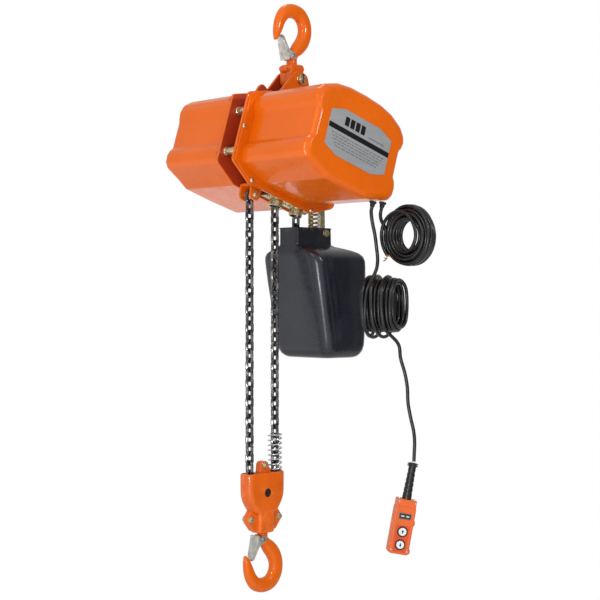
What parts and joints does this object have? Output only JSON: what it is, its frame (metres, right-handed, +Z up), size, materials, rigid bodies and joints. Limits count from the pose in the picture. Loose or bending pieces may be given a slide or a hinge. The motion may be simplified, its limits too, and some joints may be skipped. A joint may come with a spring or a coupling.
{
  "type": "electric chain hoist",
  "caption": "Hanging electric chain hoist with a hook on top, a hook block on a looped chain below, a chain bucket and a corded pendant.",
  "frame": {"origin": "seat in the top hook's bowl, where the hoist hangs", "axes": "+Z up, +X along the body towards the control cover, +Y away from the hook tips"},
  "size_m": [0.576, 0.3661, 1.3488],
  "materials": {
    "orange_paint": "glossy safety orange enamel",
    "shaded_red_paint": "red orange paint",
    "zinc": "yellow zinc plating",
    "bright_steel": "galvanised and machined steel",
    "black_steel": "black oxide, oiled",
    "copper": "varnished windings and laminations",
    "grey_casting": "grey casting",
    "slate_plastic": "moulded slate plastic, satin",
    "black_rubber": "black cable sheath",
    "black_plastic": "black phenolic",
    "orange_plastic": "orange moulded plastic",
    "label": "silver label",
    "white_plastic": "white button caps"
  },
  "bodies": {
    "top_hook": {"top_hook": "orange_paint", "top_hook_nut": "bright_steel"},
    "top_latch": {"top_latch": "bright_steel"},
    "yoke": {"yoke_left_half": "orange_paint", "yoke_right_half": "orange_paint", "suspension_pin": "shaded_red_paint", "pin_nut": "zinc"},
    "hoist_body": {"frame_plate_left": "orange_paint", "frame_plate_right": "orange_paint", "spacer_front_upper": "zinc", "spacer_front_lower": "zinc", "spacer_rear_upper": "zinc", "spacer_rear_lower": "zinc", "motor_cover": "orange_paint", "control_cover": "orange_paint", "rating_plate": "label", "motor_stator": "copper", "brake_unit": "grey_casting", "gear_case": "grey_casting", "control_panel": "grey_casting", "contactor": "black_plastic", "load_chain_guide": "zinc", "slack_chain_guide": "zinc", "anchor_bracket": "orange_paint", "anchor_bolt": "zinc", "bucket_hanger": "zinc", "pendant_gland": "black_rubber", "power_gland": "black_rubber"},
    "load_wheel": {"load_wheel": "black_steel", "output_gear": "bright_steel"},
    "counter_shaft": {"counter_gear": "bright_steel"},
    "motor_shaft": {"motor_rotor": "bright_steel"},
    "chain_falls": {"anchored_chain": "black_steel", "load_chain": "black_steel"},
    "load_block": {"block_half_left": "orange_paint", "block_half_right": "orange_paint", "sheave_pin": "black_steel", "block_bolt_front": "zinc", "block_bolt_rear": "zinc", "block_bolt_upper": "zinc", "buffer_spring": "bright_steel"},
    "block_sheave": {"sheave": "bright_steel"},
    "load_hook": {"block_hook": "orange_paint", "block_hook_nut": "bright_steel"},
    "load_latch": {"block_latch": "bright_steel"},
    "slack_fall": {"slack_chain": "black_steel"},
    "bucket": {"chain_bucket": "slate_plastic", "bucket_bolt": "zinc", "stored_chain": "black_steel"},
    "pendant": {"pendant_cord_upper": "black_rubber", "pendant_cord_hank": "black_rubber", "pendant_cord_lower": "black_rubber", "cord_boot": "black_rubber", "pendant_case_front": "orange_plastic", "pendant_case_back": "orange_plastic", "contact_block": "black_plastic"},
    "power_cord": {"power_cord_lead": "black_rubber", "power_cord_coil": "black_rubber"},
    "up_button": {"button_up": "white_plastic"},
    "down_button": {"button_down": "white_plastic"}
  },
  "joints": [
    {"name": "top_latch_hinge", "type": "hinge", "parent": "top_hook", "child": "top_latch", "pos_m": [0, -0.008, -0.09], "axis": [-1, 0, 0], "range_deg": [0, 38], "stiffness_Nm_per_rad": 0.3, "springref_deg": -17.19},
    {"name": "yoke_swivel", "type": "hinge", "parent": "top_hook", "child": "yoke", "pos_m": [0, 0, -0.12], "axis": [0, 0, 1], "continuous": true},
    {"name": "body_tilt", "type": "hinge", "parent": "yoke", "child": "hoist_body", "pos_m": [0, 0, -0.146], "axis": [1, 0, 0], "range_deg": [0, 17.4]},
    {"name": "load_wheel_spin", "type": "hinge", "parent": "hoist_body", "child": "load_wheel", "pos_m": [0, 0.01817, -0.3288], "axis": [1, 0, 0], "continuous": true},
    {"name": "counter_shaft_spin", "type": "hinge", "parent": "hoist_body", "child": "counter_shaft", "pos_m": [0, -0.0441, -0.30929], "axis": [1, 0, 0], "continuous": true},
    {"name": "motor_shaft_spin", "type": "hinge", "parent": "hoist_body", "child": "motor_shaft", "pos_m": [0, 0.01817, -0.3288], "axis": [1, 0, 0], "continuous": true},
    {"name": "falls_plumb", "type": "hinge", "parent": "hoist_body", "child": "chain_falls", "pos_m": [0, -0.0915, -0.43], "axis": [1, 0, 0], "range_deg": [-17.4, 0]},
    {"name": "hoist_lift", "type": "slide", "parent": "chain_falls", "child": "load_block", "axis": [0, 0, 1], "range_m": [0, 0.3], "deforming": ["anchored_chain", "load_chain"]},
    {"name": "sheave_spin", "type": "hinge", "parent": "load_block", "child": "block_sheave", "pos_m": [0, -0.0915, -1.088], "axis": [1, 0, 0], "continuous": true},
    {"name": "load_hook_swivel", "type": "hinge", "parent": "load_block", "child": "load_hook", "pos_m": [0, -0.0915, -1.17], "axis": [0, 0, 1], "continuous": true},
    {"name": "load_latch_hinge", "type": "hinge", "parent": "load_hook", "child": "load_latch", "pos_m": [0, -0.0995, -1.193], "axis": [1, 0, 0], "range_deg": [0, 38], "stiffness_Nm_per_rad": 0.3, "springref_deg": -17.19},
    {"name": "slack_plumb", "type": "hinge", "parent": "hoist_body", "child": "slack_fall", "pos_m": [0, 0.013, -0.462], "axis": [1, 0, 0], "range_deg": [-17.4, 0]},
    {"name": "bucket_plumb", "type": "hinge", "parent": "hoist_body", "child": "bucket", "pos_m": [0, 0.0795, -0.4965], "axis": [1, 0, 0], "range_deg": [-17.4, 0]},
    {"name": "pendant_plumb", "type": "hinge", "parent": "hoist_body", "child": "pendant", "pos_m": [0.222, 0.03204, -0.4437], "axis": [1, 0, 0], "range_deg": [-17.4, 0]},
    {"name": "power_cord_plumb", "type": "hinge", "parent": "hoist_body", "child": "power_cord", "pos_m": [0.222, 0.06336, -0.44409], "axis": [1, 0, 0], "range_deg": [-17.4, 0]},
    {"name": "up_button_press", "type": "slide", "parent": "pendant", "child": "up_button", "axis": [-0.809, 0.5878, 0], "range_m": [0, 0.004], "stiffness_N_per_m": 400, "springref_m": -0.001},
    {"name": "down_button_press", "type": "slide", "parent": "pendant", "child": "down_button", "axis": [-0.809, 0.5878, 0], "range_m": [0, 0.004], "stiffness_N_per_m": 400, "springref_m": -0.001}
  ],
  "couplings": [
    {"joint": "counter_shaft_spin", "follows": "load_wheel_spin", "ratio": -4.8},
    {"joint": "motor_shaft_spin", "follows": "load_wheel_spin", "ratio": 16.615},
    {"joint": "falls_plumb", "follows": "body_tilt", "ratio": -1},
    {"joint": "slack_plumb", "follows": "body_tilt", "ratio": -1},
    {"joint": "bucket_plumb", "follows": "body_tilt", "ratio": -1},
    {"joint": "pendant_plumb", "follows": "body_tilt", "ratio": -1},
    {"joint": "power_cord_plumb", "follows": "body_tilt", "ratio": -1}
  ]
}
